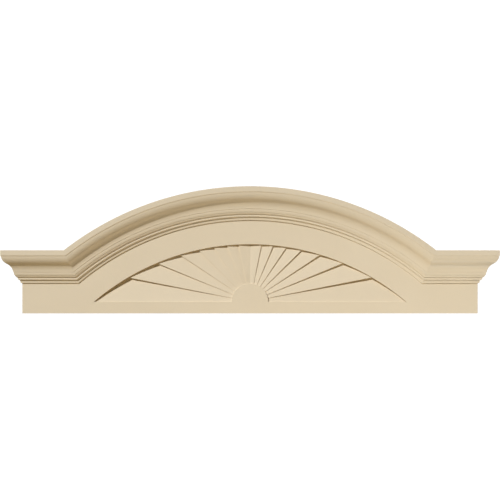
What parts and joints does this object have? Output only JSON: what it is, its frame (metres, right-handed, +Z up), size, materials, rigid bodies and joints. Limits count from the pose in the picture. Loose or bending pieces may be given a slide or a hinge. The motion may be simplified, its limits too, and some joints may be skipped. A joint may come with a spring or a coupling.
{
  "type": "sunburst pediment",
  "caption": "Moulded arched pediment for a door or window head: a crown moulding over a plain frieze with a fan of tilted blades sunk under the arch.",
  "frame": {"origin": "on the flat back, on the centre line, halfway up the overall height", "axes": "+Y out of the back into the wall, so the carved front faces -Y; +X along the width, to the right seen from the front; +Z up"},
  "size_m": [2.184, 0.1152, 0.561],
  "materials": {
    "primed_urethane": "factory-primed tan, matt"
  },
  "bodies": {
    "root": {"sunburst_pediment": "primed_urethane"}
  },
  "joints": []
}
